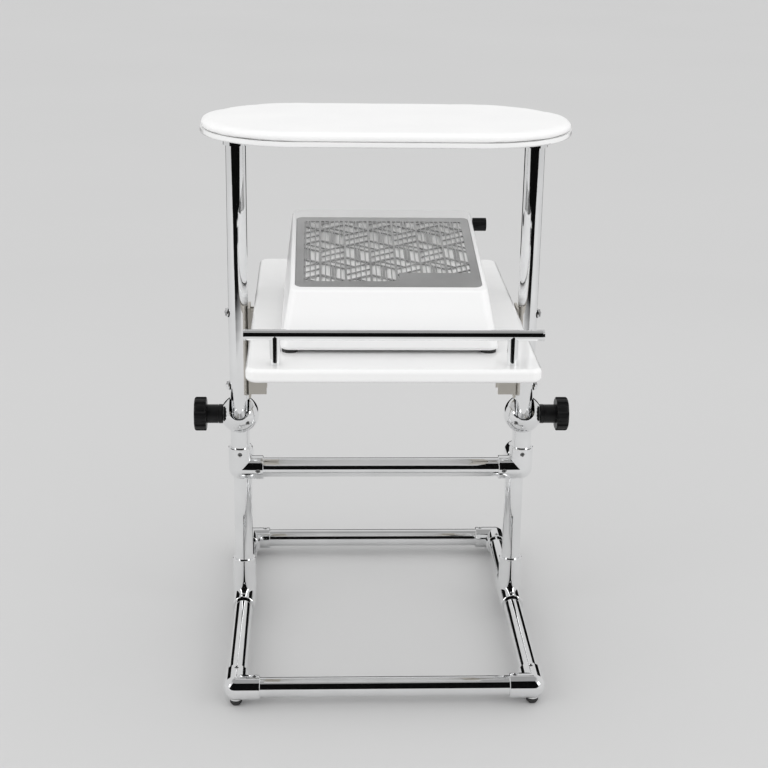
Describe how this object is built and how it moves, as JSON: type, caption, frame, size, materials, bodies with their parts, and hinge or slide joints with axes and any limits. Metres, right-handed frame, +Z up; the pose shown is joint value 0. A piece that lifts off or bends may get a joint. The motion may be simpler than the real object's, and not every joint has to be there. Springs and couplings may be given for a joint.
{
  "type": "manicure table",
  "caption": "Manicure stand of chrome tube with a padded oval hand rest, a railed shelf carrying a grilled dust collector, and clamp knobs that let the upper frame lean forward.",
  "frame": {"origin": "on the floor, under the middle of the table's overall box", "axes": "+Z up, +Y away from the person who sits at the front rail, +X to that person's right"},
  "size_m": [0.487, 0.559, 0.698],
  "materials": {
    "chrome": "bright polished chrome plate",
    "zinc_steel": "bright zinc plate",
    "black_oxide": "blackened steel",
    "black_plastic": "satin moulded black",
    "rubber": "matt",
    "white_lacquer": "white satin lacquer on board",
    "white_leatherette": "smooth white leatherette with a fine grain",
    "white_abs": "semi-gloss white moulding",
    "stainless": "brushed stainless",
    "filter_paper": "pleated filter paper",
    "motor_case": "plain steel case"
  },
  "bodies": {
    "base": {"base_front_tube": "chrome", "base_rear_tube": "chrome", "front_left_elbow": "chrome", "front_right_elbow": "chrome", "rear_left_elbow": "chrome", "rear_right_elbow": "chrome", "left_front_side_tube": "chrome", "left_rear_side_tube": "chrome", "left_base_tee": "chrome", "left_lower_post": "chrome", "left_step_elbow": "chrome", "left_step_tube": "chrome", "left_crossbar_corner": "chrome", "left_neck_tube": "chrome", "left_swivel_ball": "chrome", "right_front_side_tube": "chrome", "right_rear_side_tube": "chrome", "right_base_tee": "chrome", "right_lower_post": "chrome", "right_step_elbow": "chrome", "right_step_tube": "chrome", "right_crossbar_corner": "chrome", "right_neck_tube": "chrome", "right_swivel_ball": "chrome", "crossbar_tube": "chrome", "rubber_feet": "rubber", "set_screws": "black_oxide"},
    "left_knob": {"left_clamp_knob": "black_plastic", "left_clamp_screw": "zinc_steel"},
    "right_knob": {"right_clamp_knob": "black_plastic", "right_clamp_screw": "zinc_steel"},
    "upper_frame": {"left_upper_post": "chrome", "left_swivel_plug": "chrome", "left_post_flange": "chrome", "left_shelf_arm": "zinc_steel", "left_shelf_bracket": "zinc_steel", "right_upper_post": "chrome", "right_swivel_plug": "chrome", "right_post_flange": "chrome", "right_shelf_arm": "zinc_steel", "right_shelf_bracket": "zinc_steel", "bracket_bolts": "zinc_steel", "cap_nuts": "chrome", "top_board": "white_lacquer", "top_pad": "white_leatherette", "shelf_board": "white_lacquer", "wood_screws": "zinc_steel", "rail_tube": "chrome", "rail_end_caps": "chrome", "rail_standoffs": "chrome"},
    "collector": {"collector_body": "white_abs", "collector_floor": "white_abs", "collector_feet": "rubber", "filter_cartridge": "filter_paper", "fan_motor": "motor_case", "power_inlet": "black_plastic", "speed_control": "motor_case"},
    "fan": {"fan_impeller": "black_plastic"},
    "speed_dial": {"speed_knob": "black_plastic"},
    "grille_plate": {"grille": "stainless"}
  },
  "joints": [
    {"name": "frame_tilt", "type": "hinge", "parent": "base", "child": "upper_frame", "pos_m": [0, 0.021, 0.311], "axis": [1, 0, 0], "range_deg": [0, 60]},
    {"name": "left_clamp_turn", "type": "hinge", "parent": "base", "child": "left_knob", "pos_m": [-0.21, 0.021, 0.311], "axis": [-1, 0, 0], "continuous": true},
    {"name": "right_clamp_turn", "type": "hinge", "parent": "base", "child": "right_knob", "pos_m": [0.21, 0.021, 0.311], "axis": [1, 0, 0], "continuous": true},
    {"name": "collector_lift", "type": "slide", "parent": "upper_frame", "child": "collector", "axis": [0, 0, 1], "range_m": [0, 0.05]},
    {"name": "grille_lift", "type": "slide", "parent": "collector", "child": "grille_plate", "axis": [0, -0.1585, 0.9874], "range_m": [0, 0.03]},
    {"name": "fan_spin", "type": "hinge", "parent": "collector", "child": "fan", "pos_m": [-0.003, -0.05, 0.49], "axis": [0, 0, 1], "continuous": true},
    {"name": "speed_turn", "type": "hinge", "parent": "collector", "child": "speed_dial", "pos_m": [0.112, 0.042, 0.5595], "axis": [1, 0, 0], "range_deg": [0, 270]}
  ]
}
